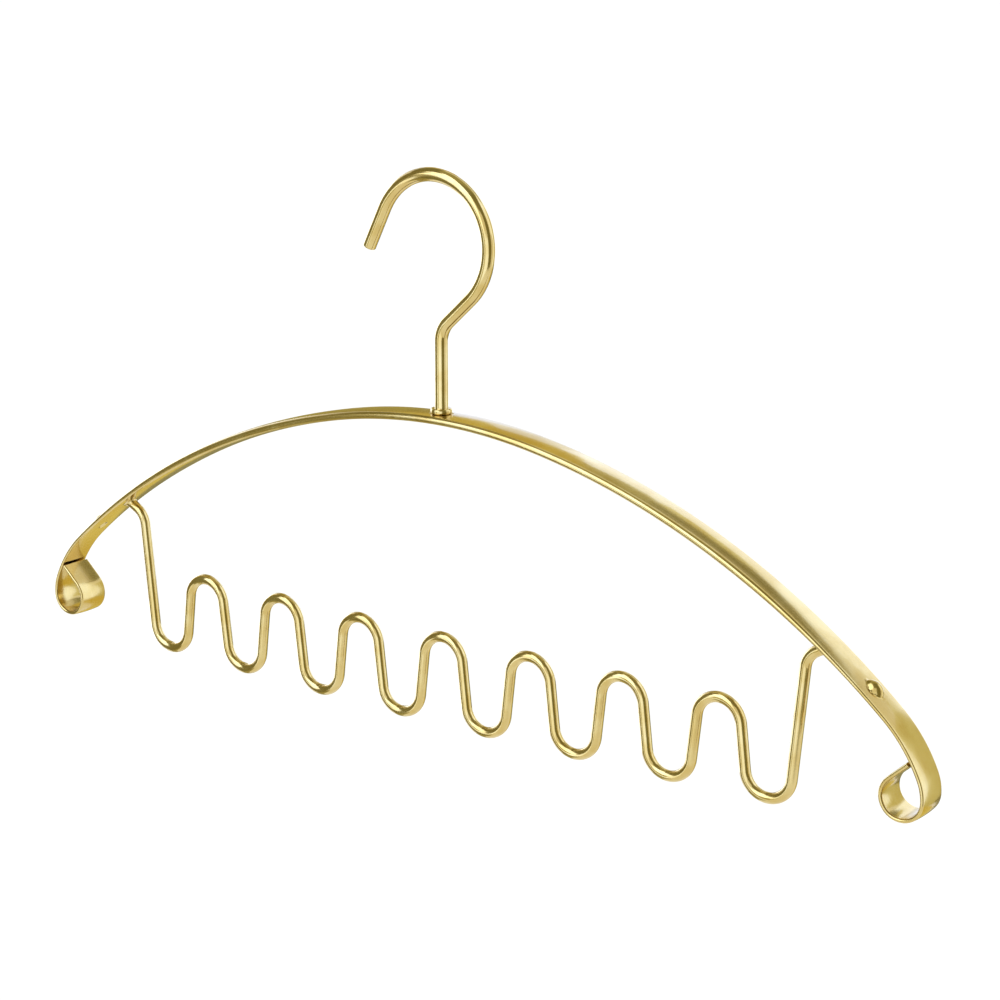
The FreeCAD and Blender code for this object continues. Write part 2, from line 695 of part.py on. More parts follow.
def make_hook_collar():
    """The collar pressed on the stem's foot, rounded outside."""
    body = new_body("hook_collar")
    low = size("bar_thickness") / 2 - size("seat_depth") + size("swivel_clearance")
    low_formula = "sizes.bar_thickness / 2 - sizes.seat_depth + sizes.swivel_clearance"
    high = low + size("collar_height")
    high_formula = low_formula + " + sizes.collar_height"
    bore = (size("hook_wire_diameter") / 2, "sizes.hook_wire_diameter / 2")
    rim = (size("collar_diameter") / 2, "sizes.collar_diameter / 2")
    sketch = new_sketch(body, "collar_outline", "XZ_Plane")
    turned_outline(
        sketch,
        [
            (bore, (low, low_formula)),
            (rim, (low, low_formula)),
            (rim, (high, high_formula)),
            (bore, (high, high_formula)),
        ],
    )
    ring = revolve(body, "ring", sketch, "PartDesign::Revolution")
    doc.recompute()
    rim_edges = []
    for number, edge in enumerate(ring.Shape.Edges, start=1):
        round_edge = isinstance(edge.Curve, Part.Circle)
        if round_edge and abs(edge.Curve.Radius - size("collar_diameter") / 2) < 0.001:
            rim_edges.append("Edge%d" % number)
    fillet = body.newObject("PartDesign::Fillet", "rounded_rim")
    fillet.Base = (ring, rim_edges)
    fillet.setExpression("Radius", "sizes.collar_rounding")
    return body


# Welds

def make_weld(label, side, bar, wire):
    """A flat bead under the bar round the wire's end, cut to fit both."""
    meeting, up = weld_point()
    bead = doc.addObject("Part::Ellipsoid", label + "_bead")
    bead.setExpression("Radius1", "sizes.weld_bead_height")
    bead.setExpression("Radius2", "sizes.weld_bead_radius")
    bead.setExpression("Radius3", "sizes.weld_bead_radius")
    bead.Angle1 = -90
    tilt = FreeCAD.Rotation(FreeCAD.Vector(0, 1, 0), side * size("weld_slope"))
    place = FreeCAD.Vector(side * meeting.x, 0, meeting.y - size("saddle_height"))
    bead.Placement = FreeCAD.Placement(place, tilt)
    under_bar = doc.addObject("Part::Cut", label + "_under_bar")
    under_bar.Base = bead
    under_bar.Tool = bar
    weld = doc.addObject("Part::Cut", label)
    weld.Label = label
    weld.Base = under_bar
    weld.Tool = wire
    return weld


shoulder_bar = make_shoulder_bar()
wave_wire = make_wave_wire()
hook = make_hook()
hook_collar = make_hook_collar()
doc.recompute()
weld_left = make_weld("weld_left", -1, shoulder_bar, wave_wire)
weld_right = make_weld("weld_right", 1, shoulder_bar, wave_wire)
doc.recompute()

for item in doc.Objects:
    assert "Invalid" not in item.State and "Error" not in item.State, "%s failed" % item.Label
nodes = [shoulder_bar, wave_wire, weld_left, weld_right, hook, hook_collar]
for node in nodes:
    assert not node.Shape.isNull() and node.Shape.isValid(), "%s is not a valid shape" % node.Label
    assert len(node.Shape.Solids) == 1, "%s is not one solid" % node.Label
os.makedirs("parts", exist_ok=True)
for node in nodes:
    node.Shape.exportStep("parts/%s.step" % node.Label)
    print(node.Label, "volume", round(node.Shape.Volume, 1))
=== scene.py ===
"""Looks of the scarf hanger: fine meshes of its bar, wires and welds, their gold plate, and the studio."""
import bmesh
import bpy
import math
from collections import namedtuple
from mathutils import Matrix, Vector


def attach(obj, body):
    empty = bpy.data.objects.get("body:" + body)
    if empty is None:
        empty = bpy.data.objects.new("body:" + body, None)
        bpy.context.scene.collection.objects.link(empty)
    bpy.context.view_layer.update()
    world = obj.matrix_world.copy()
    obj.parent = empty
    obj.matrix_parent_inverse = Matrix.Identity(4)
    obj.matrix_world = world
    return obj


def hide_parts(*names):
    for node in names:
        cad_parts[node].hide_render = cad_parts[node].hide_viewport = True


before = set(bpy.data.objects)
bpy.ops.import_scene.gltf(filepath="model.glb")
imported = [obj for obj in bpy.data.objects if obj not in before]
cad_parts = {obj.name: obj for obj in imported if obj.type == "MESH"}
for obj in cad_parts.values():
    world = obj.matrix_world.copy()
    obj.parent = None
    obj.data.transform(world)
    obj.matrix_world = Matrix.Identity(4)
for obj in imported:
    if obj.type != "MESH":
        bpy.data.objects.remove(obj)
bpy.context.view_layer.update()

# Driving dimensions, in millimetres and degrees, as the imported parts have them.
# Heights are measured from the bar's centre line at its middle; angles along the bar are its slope there.
BAR_WIDTH = 13.2
BAR_THICKNESS = 3.5
BAR_EDGE_RADIUS = 1.4
CROWN_RADIUS = 227.4
CROWN_END_SLOPE = 11.5
SHOULDER_RADIUS = 299.1
SHOULDER_END_SLOPE = 41.3
TAPER_START_SLOPE = 26.0
STRIP_THICKNESS = 1.9
STRIP_EDGE_RADIUS = 0.7
END_RADIUS = 52.8
END_SLOPE = 66.0
DROP_RADIUS = 18.0
CURL_RADIUS = 7.5
RETURN_SLOPE = 42.0
CURL_GAP = 0.3
STOP_SLOPE = 39.5
STOP_LENGTH = 7.6
STOP_WIDTH = 5.0
STOP_HEIGHT = 2.6
DIMPLE_LENGTH = 5.0
DIMPLE_WIDTH = 3.0
DIMPLE_DEPTH = 0.8
HOOK_WIRE_DIAMETER = 5.0
RING_RADIUS = 24.45
RING_HEIGHT = 62.05
RING_OFFSET = 3.44
KNEE_HEIGHT = 32.2
KNEE_BEND_RADIUS = 9.7
TIP_LEAN = 27.0
TIP_LENGTH = 16.4
TIP_EDGE_RADIUS = 0.5
COLLAR_DIAMETER = 8.0
COLLAR_HEIGHT = 2.0
COLLAR_ROUNDING = 0.7
SEAT_DEPTH = 0.15
SEAT_MARGIN = 0.4
SHANK_DIAMETER = 4.0
RIVET_HEAD_DIAMETER = 6.0
RIVET_HEAD_HEIGHT = 1.2
SWIVEL_CLEARANCE = 0.05
WAVE_WIRE_DIAMETER = 4.0
WAVE_END_REACH = 20.8
TROUGH_DEPTH = 114.5
WAVE_HEIGHT = 32.6
TROUGH_BEND_RADIUS = 9.1
PEAK_BEND_RADIUS = 8.8
TROUGH_RISE = 2.3
PEAK_RISE = 1.7
TROUGHS_PER_SIDE = 4
END_LEG_LEAN = 5.4
END_BEND_RADIUS = 7.8
END_RUN_SLOPE = 28.0
WELD_SLOPE = 35.55
WELD_ROOT_GAP = 0.1

# Fine detail of the meshes, in millimetres, degrees, counts and shares.
# The pressed stop's roundness is a power: 0.5 makes a half ellipsoid, 1 a paraboloid with softer flanks.
BOW_STEP = 1.0
STOP_STEP = 0.2
BEND_STEP = 0.5
RUN_STEP = 2.0
FACE_POINTS = 48
SIDE_POINTS = 16
WIRE_POINTS = 40
ROUNDING_POINTS = 6
PRESSED_ROUNDNESS = 0.75
RIVET_DOME = 0.2
WELD_LEG = 1.5
WELD_FOOT = 1.3
WELD_SINK = 0.06
WELD_RIPPLES = 5
WELD_RIPPLE_SHARE = 0.08
WELD_CORE_SHARE = 0.5
SHARP_EDGE = 50.0

MM = 0.001
SADDLE_HEIGHT = RING_HEIGHT + math.sqrt((RING_RADIUS - HOOK_WIRE_DIAMETER / 2) ** 2 - RING_OFFSET ** 2)
SEAT = BAR_THICKNESS / 2 - SEAT_DEPTH
FOOT = SEAT + SWIVEL_CLEARANCE

Station = namedtuple("Station", "x z heading along")


# Mesh helpers

def place(x, across, z):
    """A point in millimetres from the bar's middle, in the frame's metres from the saddle."""
    return Vector((x, across, z - SADDLE_HEIGHT)) * MM


def direction(azimuth, elevation):
    """Unit vector from the hanger to what stands round it; azimuth 0 is in front, and 90 to the right."""
    turn = math.radians(azimuth)
    rise = math.radians(elevation)
    return Vector((math.sin(turn) * math.cos(rise), -math.cos(turn) * math.cos(rise), math.sin(rise)))


class Route:
    """A centre line in the XZ plane: straight runs and tangent arcs one after the other."""

    def __init__(self, x, z, heading):
        self.stations = [Station(x, z, heading, 0.0)]

    def run(self, length, step=RUN_STEP):
        """A straight run in the direction reached so far."""
        start = self.stations[-1]
        count = max(1, math.ceil(length / step))
        for number in range(1, count + 1):
            gone = length * number / count
            x = start.x + gone * math.cos(start.heading)
            z = start.z + gone * math.sin(start.heading)
            self.stations.append(Station(x, z, start.heading, start.along + gone))

    def turn(self, radius, angle, step=BEND_STEP):
        """An arc through an angle: left where it is positive, right where it is negative."""
        start = self.stations[-1]
        side = math.copysign(1.0, angle)
        centre_x = start.x - side * radius * math.sin(start.heading)
        centre_z = start.z + side * radius * math.cos(start.heading)
        count = max(1, math.ceil(radius * abs(angle) / step))
        for number in range(1, count + 1):
            heading = start.heading + angle * number / count
            x = centre_x + side * radius * math.sin(heading)
            z = centre_z - side * radius * math.cos(heading)
            along = start.along + radius * abs(angle) * number / count
            self.stations.append(Station(x, z, heading, along))


def both_halves(right_half):
    """Stations from the left end to the right end, from those of the right half."""
    left_half = [Station(-s.x, s.z, -s.heading, -s.along) for s in reversed(right_half[1:])]
    return left_half + right_half


def ring_at(station, outline):
    """A closed outline of (across, up) points, set square to the centre line at a station."""
    up_x = -math.sin(station.heading)
    up_z = math.cos(station.heading)
    return [place(station.x + up * up_x, across, station.z + up * up_z) for across, up in outline]


def circle(radius):
    """A round outline."""
    turns = [2 * math.pi * number / WIRE_POINTS for number in range(WIRE_POINTS)]
    return [(radius * math.sin(turn), radius * math.cos(turn)) for turn in turns]


def skin(name, rings, alongs, closed=False):
    """A piece skinned over rings of equal count, with its length and girth in millimetres as UV."""
    mesh_maker = bmesh.new()
    uv_layer = mesh_maker.loops.layers.uv.new("millimetres")
    corners = [[mesh_maker.verts.new(point) for point in ring] for ring in rings]
    count = len(rings[0])
    girths = []
    for ring in rings:
        girth = [0.0]
        for number in range(count):
            girth.append(girth[-1] + (ring[(number + 1) % count] - ring[number]).length / MM)
        girths.append(girth)
    ends = list(range(len(rings) - 1))
    if closed:
        ends.append(-1)
    for first in ends:
        second = first + 1
        for number in range(count):
            following = (number + 1) % count
            face = mesh_maker.faces.new(
                (corners[first][number], corners[second][number],
                 corners[second][following], corners[first][following])
            )
            face.smooth = True
            marks = ((first, number), (second, number), (second, number + 1), (first, number + 1))
            for loop, (ring, mark) in zip(face.loops, marks):
                loop[uv_layer].uv = (alongs[ring], girths[ring][mark])
    if not closed:
        mesh_maker.faces.new(corners[0])
        mesh_maker.faces.new(list(reversed(corners[-1])))
    bmesh.ops.recalc_face_normals(mesh_maker, faces=mesh_maker.faces)
    mesh = bpy.data.meshes.new(name)
    mesh_maker.to_mesh(mesh)
    mesh_maker.free()
    mesh.set_sharp_from_angle(angle=math.radians(SHARP_EDGE))
    piece = bpy.data.objects.new(name, mesh)
    bpy.context.scene.collection.objects.link(piece)
    return piece


def turned(name, profile, closed=False):
    """A piece turned about the stem's axis from (radius, height) points."""
    rings = []
    for radius, height in profile:
        rings.append([place(x, across, height) for across, x in circle(radius)])
    alongs = [0.0]
    for (radius, height), (next_radius, next_height) in zip(profile, profile[1:]):
        alongs.append(alongs[-1] + math.hypot(next_radius - radius, next_height - height))
    return skin(name, rings, alongs, closed)


def cut_out(piece, cutter):
    """Take a cutter's shape out of a piece, and the cutter out of the scene."""
    cut = piece.modifiers.new("cut", "BOOLEAN")
    cut.operation = "DIFFERENCE"
    cut.object = cutter
    depsgraph = bpy.context.evaluated_depsgraph_get()
    whole = piece.data
    piece.data = bpy.data.meshes.new_from_object(piece.evaluated_get(depsgraph))
    piece.data.name = piece.name
    piece.data.set_sharp_from_angle(angle=math.radians(SHARP_EDGE))
    piece.modifiers.clear()
    bpy.data.meshes.remove(whole)
    bpy.data.meshes.remove(cutter.data)


# Shoulder bar

# Half the strap stop's length, as an angle of the shoulder's arc.
STOP_SPAN = math.degrees(STOP_LENGTH / 2 / SHOULDER_RADIUS)
BAR_ARCS = (  # radius, slope at the end, step of the mesh
    (CROWN_RADIUS, CROWN_END_SLOPE, BOW_STEP),
    (SHOULDER_RADIUS, STOP_SLOPE - STOP_SPAN, BOW_STEP),
    (SHOULDER_RADIUS, STOP_SLOPE + STOP_SPAN, STOP_STEP),
    (SHOULDER_RADIUS, SHOULDER_END_SLOPE, BOW_STEP),
    (END_RADIUS, END_SLOPE, BEND_STEP),
)


def bar_point(slope):
    """Centre line of the bar where it slopes down by an angle: x, z and the length from the middle."""
    x = 0.0
    z = 0.0
    length = 0.0
    start = 0.0
    for radius, end_slope, _ in BAR_ARCS:
        stop = min(math.radians(slope), math.radians(end_slope))
        x += radius * (math.sin(stop) - math.sin(start))
        z -= radius * (math.cos(start) - math.cos(stop))
        length += radius * (stop - start)
        start = stop
        if slope <= end_slope:
            break
    return x, z, length


TAPER_START = bar_point(TAPER_START_SLOPE)[2]
TAPER_END = bar_point(SHOULDER_END_SLOPE)[2]
STOP_ALONG = bar_point(STOP_SLOPE)[2]


def taper(bar_size, strip_size, along):
    """A size of the section on the way from bar to strip, eased at both ends of the taper."""
    share = (abs(along) - TAPER_START) / (TAPER_END - TAPER_START)
    share = min(max(share, 0.0), 1.0)
    return bar_size + (strip_size - bar_size) * share * share * (3 - 2 * share)


WELD_BAR_THICKNESS = taper(BAR_THICKNESS, STRIP_THICKNESS, bar_point(WELD_SLOPE)[2])


def oval_share(along, across, length, width):
    """Height of a pressed oval at the strap stop, from 0 at its rim to 1 at its middle."""
    reach = ((abs(along) - STOP_ALONG) / (length / 2)) ** 2 + (across / (width / 2)) ** 2
    return max(0.0, 1.0 - reach) ** PRESSED_ROUNDNESS


def bar_outline(along):
    """Flat oval section of the bar at a length from its middle, with the strap stop pressed into it."""
    half = taper(BAR_THICKNESS, STRIP_THICKNESS, along) / 2
    rounding = taper(BAR_EDGE_RADIUS, STRIP_EDGE_RADIUS, along)
    reach = BAR_WIDTH / 2 - rounding
    crown = (reach ** 2 + half ** 2 - rounding ** 2) / (2 * (half - rounding))
    lean = math.atan2(reach, crown - half)
    outline = []
    for side in (1, -1):
        for number in range(FACE_POINTS):
            turn = lean * (2 * number / FACE_POINTS - 1)
            outline.append((side * crown * math.sin(turn), side * (half - crown * (1 - math.cos(turn)))))
        for number in range(SIDE_POINTS):
            turn = lean + (math.pi - 2 * lean) * number / SIDE_POINTS
            outline.append((side * (reach + rounding * math.sin(turn)), side * rounding * math.cos(turn)))
    pressed = []
    for across, up in outline:
        if up > 0:
            lift = STOP_HEIGHT * oval_share(along, across, STOP_LENGTH, STOP_WIDTH)
        else:
            lift = DIMPLE_DEPTH * oval_share(along, across, DIMPLE_LENGTH, DIMPLE_WIDTH)
        pressed.append((across, up + lift))
    return pressed


def return_length(curl_end):
    """Length of the straight run from the curl back to the strip, ending just short of the strip."""
    heading = math.radians(RETURN_SLOPE)
    ahead = Vector((math.cos(heading), math.sin(heading)))
    end_slope = math.radians(END_SLOPE)
    x, z, _ = bar_point(END_SLOPE)
    centre = Vector((x - END_RADIUS * math.sin(end_slope), z - END_RADIUS * math.cos(end_slope)))
    reach = END_RADIUS - STRIP_THICKNESS / 2 - CURL_GAP
    back = Vector((curl_end.x, curl_end.z)) - centre
    along = back.dot(ahead)
    to_axis = -along + math.sqrt(along ** 2 - back.dot(back) + reach ** 2)
    crossing = abs((back + ahead * to_axis).normalized().dot(ahead))
    square_end = STRIP_THICKNESS / 2 * math.sqrt(1 - crossing ** 2) / crossing
    return to_axis - square_end


def make_shoulder_bar():
    """Bow, flattened ends and curled loops in one sweep, bored for the hook's shank."""
    route = Route(0.0, 0.0, 0.0)
    slope = 0.0
    for radius, end_slope, step in BAR_ARCS:
        route.turn(radius, math.radians(slope - end_slope), step)
        slope = end_slope
    route.turn(DROP_RADIUS, math.radians(END_SLOPE - 90))
    route.turn(CURL_RADIUS, math.radians(RETURN_SLOPE - 270))
    route.run(return_length(route.stations[-1]), BEND_STEP)
    stations = both_halves(route.stations)
    rings = [ring_at(station, bar_outline(station.along)) for station in stations]
    bar = skin("shoulder_bar_skin", rings, [station.along for station in stations])
    bore = SHANK_DIAMETER / 2 + SWIVEL_CLEARANCE
    mouth = RIVET_HEAD_DIAMETER / 2 + SWIVEL_CLEARANCE
    rim = COLLAR_DIAMETER / 2 + SEAT_MARGIN
    underside = -BAR_THICKNESS / 2
    cutter = turned(
        "swivel_bore",
        [
            (mouth, -BAR_THICKNESS),
            (mouth, underside),
            (bore, underside + RIVET_HEAD_HEIGHT),
            (bore, SEAT),
            (rim, SEAT),
            (rim, BAR_THICKNESS),
        ],
    )
    cut_out(bar, cutter)
    return bar


# Wave wire

def wave_bends():
    """Bends of the right half from the middle peak outward: x, height of the centre, radius, side."""
    weld_x = bar_point(WELD_SLOPE)[0] - WELD_BAR_THICKNESS / 2 * math.sin(math.radians(WELD_SLOPE))
    last_trough = weld_x - WAVE_END_REACH
    pitch = last_trough / (TROUGHS_PER_SIDE - 0.5)
    bends = []
    for number in range(TROUGHS_PER_SIDE):
        peak_x = number * pitch
        peak_top = -TROUGH_DEPTH + WAVE_HEIGHT + PEAK_RISE * (peak_x / last_trough) ** 2
        bends.append((peak_x, peak_top - PEAK_BEND_RADIUS, PEAK_BEND_RADIUS, -1))
        trough_x = (number + 0.5) * pitch
        trough_bottom = -TROUGH_DEPTH + TROUGH_RISE * (trough_x / last_trough) ** 2
        bends.append((trough_x, trough_bottom + TROUGH_BEND_RADIUS, TROUGH_BEND_RADIUS, 1))
    return bends


def weld_point():
    """Where the wave wire's axis meets the bar's underside, and the bar's upward normal there."""
    slope = math.radians(WELD_SLOPE)
    x, z, _ = bar_point(WELD_SLOPE)
    up = Vector((math.sin(slope), math.cos(slope)))
    return Vector((x, z)) - up * (WELD_BAR_THICKNESS / 2), up


def end_run_direction():
    """Direction of the wire's last straight run, outward and up to the bar."""
    heading = math.radians(END_RUN_SLOPE)
    return Vector((math.cos(heading), math.sin(heading)))


def wave_route():
    """Centre line of the wire's right half, from the middle peak to the bar."""
    bends = wave_bends()
    first_x, first_z, first_radius, _ = bends[0]
    route = Route(first_x, first_z + first_radius, 0.0)
    heading = 0.0
    for (x0, z0, radius0, side0), (x1, z1, radius1, side1) in zip(bends, bends[1:]):
        crossing = math.asin((radius0 + radius1) / math.hypot(x1 - x0, z1 - z0))
        leaving = math.atan2(z1 - z0, x1 - x0) + side0 * crossing
        route.turn(radius0, leaving - heading)
        heading = leaving
        reach = side1 * radius1
        landing = Vector((x1 + reach * math.sin(heading), z1 - reach * math.cos(heading)))
        here = Vector((route.stations[-1].x, route.stations[-1].z))
        route.run((landing - here).length)
    end_leg = math.radians(90 - END_LEG_LEAN)
    route.turn(bends[-1][2], end_leg - heading)
    meeting, up = weld_point()
    last = end_run_direction()
    crossing = up.dot(last)
    low_edge = WAVE_WIRE_DIAMETER / 2 * math.sqrt(1 - crossing ** 2)
    end = meeting - last * ((low_edge + WELD_ROOT_GAP) / crossing)
    leg = Vector((math.cos(end_leg), math.sin(end_leg)))
    gap = end - Vector((route.stations[-1].x, route.stations[-1].z))
    spread = leg.cross(last)
    bend_turn = math.radians(END_RUN_SLOPE) - end_leg
    tangent = END_BEND_RADIUS * math.tan(abs(bend_turn) / 2)
    route.run(gap.cross(last) / spread - tangent)
    route.turn(END_BEND_RADIUS, bend_turn)
    route.run(leg.cross(gap) / spread - tangent)
    return route


def make_wave_wire():
    """One round wire from weld to weld."""
    stations = both_halves(wave_route().stations)
    outline = circle(WAVE_WIRE_DIAMETER / 2)
    rings = [ring_at(station, outline) for station in stations]
    return skin("wave_wire_skin", rings, [station.along for station in stations])


def make_weld(name, side):
    """A hollow fillet of weld metal between the wire and the bar's underside, slightly rippled."""
    meeting, up = weld_point()
    ahead = end_run_direction()
    aside = Vector((-ahead.y, ahead.x))
    along_bar = Vector((up.y, -up.x))
    radius = WAVE_WIRE_DIAMETER / 2
    rings = []
    for number in range(WIRE_POINTS):
        turn = 2 * math.pi * number / WIRE_POINTS
        ripple = 1 + WELD_RIPPLE_SHARE * math.sin(WELD_RIPPLES * turn)
        rim = meeting + aside * (radius * math.cos(turn))
        across = radius * math.sin(turn)
        root = rim - ahead * ((rim - meeting).dot(up) / ahead.dot(up))
        out_along = (root - meeting).dot(along_bar)
        out_length = math.hypot(out_along, across)
        foot = root + along_bar * (out_along / out_length * WELD_FOOT * ripple)
        foot_across = across * (1 + WELD_FOOT * ripple / out_length)
        top = root - ahead * (WELD_LEG * ripple)
        ring = []
        for point in range(ROUNDING_POINTS + 1):
            share = point / ROUNDING_POINTS
            from_top = (1 - share) ** 2
            from_root = 2 * share * (1 - share)
            from_foot = share ** 2
            spot = top * from_top + root * from_root + foot * from_foot
            spot_across = across * (from_top + from_root) + foot_across * from_foot
            ring.append((spot, spot_across))
        ring.append((foot + up * WELD_SINK, foot_across))
        core = meeting + (top - meeting) * WELD_CORE_SHARE
        ring.append((core, across * WELD_CORE_SHARE))
        rings.append([place(side * spot.x, spot_across, spot.y) for spot, spot_across in ring])
    alongs = [2 * math.pi * radius * number / WIRE_POINTS for number in range(WIRE_POINTS)]
    return skin(name, rings, alongs, closed=True)


# Hook and collar

def make_hook():
    """Peened shank, stem, knee, slanting run, round crown and straight tip in one skin."""
    to_centre = Vector((-RING_OFFSET, RING_HEIGHT - KNEE_HEIGHT))
    distance = to_centre.length
    run_heading = math.atan2(to_centre.y, to_centre.x) - math.asin(RING_RADIUS / distance)
    knee_turn = run_heading - math.pi / 2
    knee_tangent = KNEE_BEND_RADIUS * math.tan(abs(knee_turn) / 2)
    tip_heading = math.radians(270 - TIP_LEAN)
    route = Route(0.0, FOOT, math.pi / 2)
    route.run(KNEE_HEIGHT - FOOT - knee_tangent)
    route.turn(KNEE_BEND_RADIUS, knee_turn)
    route.run(math.sqrt(distance ** 2 - RING_RADIUS ** 2) - knee_tangent)
    route.turn(RING_RADIUS, tip_heading - run_heading)
    route.run(TIP_LENGTH - TIP_EDGE_RADIUS)
    wire_radius = HOOK_WIRE_DIAMETER / 2
    shank_radius = SHANK_DIAMETER / 2
    head_radius = RIVET_HEAD_DIAMETER / 2
    underside = -BAR_THICKNESS / 2
    head_top = underside + RIVET_HEAD_HEIGHT - SWIVEL_CLEARANCE
    levels = []
    for number in range(1, ROUNDING_POINTS + 1):
        share = number / ROUNDING_POINTS
        levels.append((underside - RIVET_DOME * (1 - share ** 2), head_radius * share))
    levels += [(head_top, shank_radius), (FOOT, shank_radius)]
    rings = []
    alongs = []
    for height, radius in levels:
        rings.append(ring_at(Station(0.0, height, math.pi / 2, 0.0), circle(radius)))
        alongs.append(height - FOOT)
    for station in route.stations:
        rings.append(ring_at(station, circle(wire_radius)))
        alongs.append(station.along)
    tip = route.stations[-1]
    for number in range(1, ROUNDING_POINTS + 1):
        turn = math.pi / 2 * number / ROUNDING_POINTS
        gone = TIP_EDGE_RADIUS * math.sin(turn)
        x = tip.x + gone * math.cos(tip.heading)
        z = tip.z + gone * math.sin(tip.heading)
        radius = wire_radius - TIP_EDGE_RADIUS * (1 - math.cos(turn))
        rings.append(ring_at(Station(x, z, tip.heading, 0.0), circle(radius)))
        alongs.append(tip.along + gone)
    return skin("hook_skin", rings, alongs)


def make_hook_collar():
    """The collar on the stem's foot, rounded outside."""
    bore = HOOK_WIRE_DIAMETER / 2
    rim = COLLAR_DIAMETER / 2 - COLLAR_ROUNDING
    low = FOOT + COLLAR_ROUNDING
    high = FOOT + COLLAR_HEIGHT - COLLAR_ROUNDING
    profile = [(bore, FOOT)]
    for centre, quarter in ((low, -1), (high, 0)):
        for number in range(ROUNDING_POINTS + 1):
            turn = math.pi / 2 * (quarter + number / ROUNDING_POINTS)
            radius = rim + COLLAR_ROUNDING * math.cos(turn)
            profile.append((radius, centre + COLLAR_ROUNDING * math.sin(turn)))
    profile.append((bore, FOOT + COLLAR_HEIGHT))
    return turned("hook_collar_skin", profile, closed=True)


# Materials

def linear(hex_colour):
    """A linear colour from an sRGB hex value."""
    channels = []
    for start in (1, 3, 5):
        value = int(hex_colour[start:start + 2], 16) / 255
        channels.append(value / 12.92 if value <= 0.04045 else ((value + 0.055) / 1.055) ** 2.4)
    return (*channels, 1.0)


def add_node(tree, kind, inputs=None, **settings):
    """Add a node with its settings, and set or link its sockets by name or number."""
    made = tree.nodes.new(kind)
    for setting, value in settings.items():
        setattr(made, setting, value)
    for socket, value in (inputs or {}).items():
        if isinstance(value, bpy.types.NodeSocket):
            tree.links.new(value, made.inputs[socket])
        else:
            made.inputs[socket].default_value = value
    return made


def new_material(name):
    """An empty material and its node tree."""
    material = bpy.data.materials.new(name)
    material.use_nodes = True
    material.node_tree.nodes.clear()
    return material, material.node_tree


# Plate and lacquer, with sizes in millimetres. Polishing and drawing leave lines under 0.1 mm apart, too
# fine to show in the render, so both finishes draw them several times as coarse.
THICK_PLATE = "#CBB166"
THIN_PLATE = "#D6C180"
PATCH_EDGES = (0.35, 0.65)
LINE_EDGES = (0.3, 0.7)
LINE_DEPTH = 0.02
LACQUER_IOR = 1.5
LACQUER_ROUGHNESS = 0.06


def gold_plate(name, mottle, line_spacing, line_length, roughness, line_bump, coat):
    """Gold-coloured plate on polished steel under clear lacquer.

    The plate is a little paler where it is thin, in soft patches. Polishing or drawing leaves fine
    lengthwise lines, which vary the gloss and break up the reflections slightly.
    """
    material, tree = new_material(name)
    surface = add_node(tree, "ShaderNodeUVMap", uv_map="millimetres").outputs["UV"]
    body = add_node(tree, "ShaderNodeTexCoord").outputs["Object"]
    patches = add_node(
        tree, "ShaderNodeTexNoise",
        {"Vector": body, "Scale": 1 / (mottle * MM), "Detail": 3.0, "Roughness": 0.55},
    ).outputs["Fac"]
    patch_share = add_node(
        tree, "ShaderNodeMapRange",
        {"Value": patches, "From Min": PATCH_EDGES[0], "From Max": PATCH_EDGES[1]},
        interpolation_type="SMOOTHSTEP",
    ).outputs["Result"]
    colour = add_node(
        tree, "ShaderNodeMix",
        {0: patch_share, 6: linear(THICK_PLATE), 7: linear(THIN_PLATE)},
        data_type="RGBA",
    ).outputs[2]
    stretched = add_node(
        tree, "ShaderNodeMapping",
        {"Vector": surface, "Scale": (1 / line_length, 1 / line_spacing, 1.0)},
    ).outputs["Vector"]
    lines = add_node(
        tree, "ShaderNodeTexNoise", {"Vector": stretched, "Scale": 1.0, "Detail": 2.0},
    ).outputs["Fac"]
    gloss = add_node(
        tree, "ShaderNodeMapRange",
        {
            "Value": lines,
            "From Min": LINE_EDGES[0],
            "From Max": LINE_EDGES[1],
            "To Min": roughness[0],
            "To Max": roughness[1],
        },
    ).outputs["Result"]
    bump = add_node(
        tree, "ShaderNodeBump", {"Height": lines, "Strength": line_bump, "Distance": LINE_DEPTH * MM},
    ).outputs["Normal"]
    shader = add_node(
        tree, "ShaderNodeBsdfPrincipled",
        {
            "Base Color": colour,
            "Metallic": 1.0,
            "Roughness": gloss,
            "Normal": bump,
            "Coat Weight": coat,
            "Coat Roughness": LACQUER_ROUGHNESS,
            "Coat IOR": LACQUER_IOR,
        },
    ).outputs["BSDF"]
    add_node(tree, "ShaderNodeOutputMaterial", {"Surface": shader})
    return material


def satin_gold_bar():
    """The flat bar's plate: polished lengthwise to a satin, with soft broad reflections."""
    return gold_plate(
        "satin_polished_gold_plated_steel", mottle=14.0, line_spacing=0.35, line_length=30.0,
        roughness=(0.14, 0.22), line_bump=0.1, coat=0.6,
    )


def bright_gold_wire():
    """The drawn wire's plate: brighter than the bar, with long draw lines."""
    return gold_plate(
        "drawn_gold_plated_steel", mottle=9.0, line_spacing=0.4, line_length=45.0,
        roughness=(0.10, 0.17), line_bump=0.06, coat=0.8,
    )


# Studio

# Sizes in millimetres.
RAIL_HEIGHT = 1700.0
FLOOR_SIZE = 90000.0
FLOOR_ROUGHNESS = 0.9
FLOOR_GLOW = 0.15
PAPER_WHITE = "#F2F2F0"
WHITE = "#FFFFFF"
STUDIO_CENTRE = Vector((0.0, 0.0, -100.0)) * MM
FAR_CARD = 3000.0
CARD_SPACING = 60.0
DAYLIGHT = "#DEE7FF"
WARM_SHADE = "#F6EEAC"
GOLD_PAPER = "#FFE87C"
